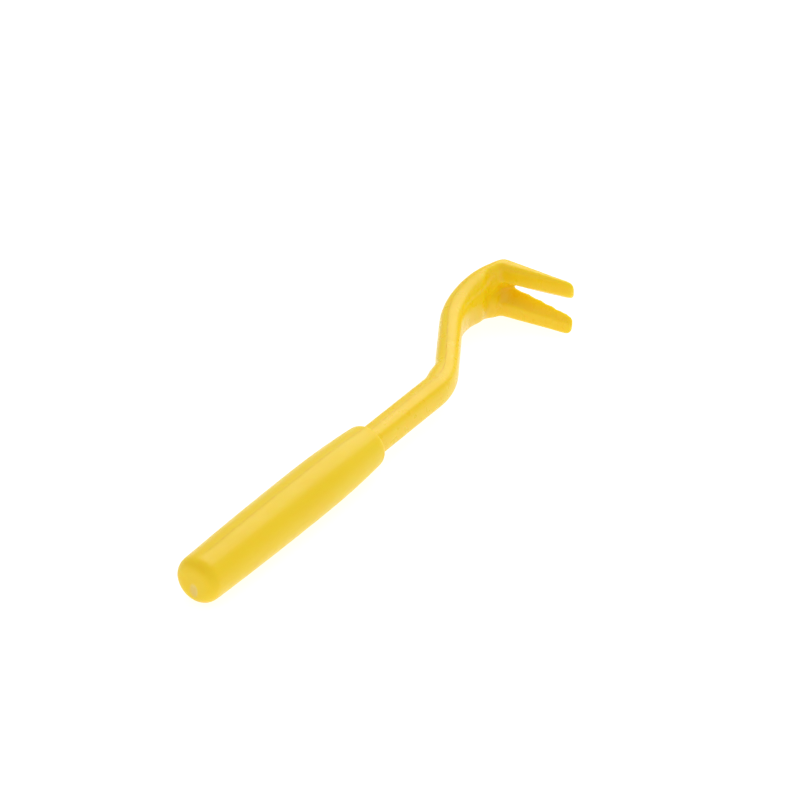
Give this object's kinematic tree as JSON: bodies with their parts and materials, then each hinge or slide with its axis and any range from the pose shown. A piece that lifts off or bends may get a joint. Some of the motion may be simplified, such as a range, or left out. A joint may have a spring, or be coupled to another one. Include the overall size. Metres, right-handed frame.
{
  "type": "tick remover hook",
  "caption": "Rigid plastic hand hook: round barrel handle, gooseneck shank and a cross-set pronged fork whose bevelled V slot slides under a tick to lift it out.",
  "frame": {"origin": "centre of the flat end face of the handle's butt", "axes": "+X along the handle towards the fork; the hook bends in the XY plane, with the gooseneck rising to +Y and the fork reaching back towards -Y; +Z is normal to that plane"},
  "size_m": [0.0525, 0.0092, 0.0056],
  "materials": {
    "yellow_plastic": "gloss"
  },
  "bodies": {
    "root": {"barrel_handle": "yellow_plastic", "forked_hook": "yellow_plastic"}
  },
  "joints": []
}
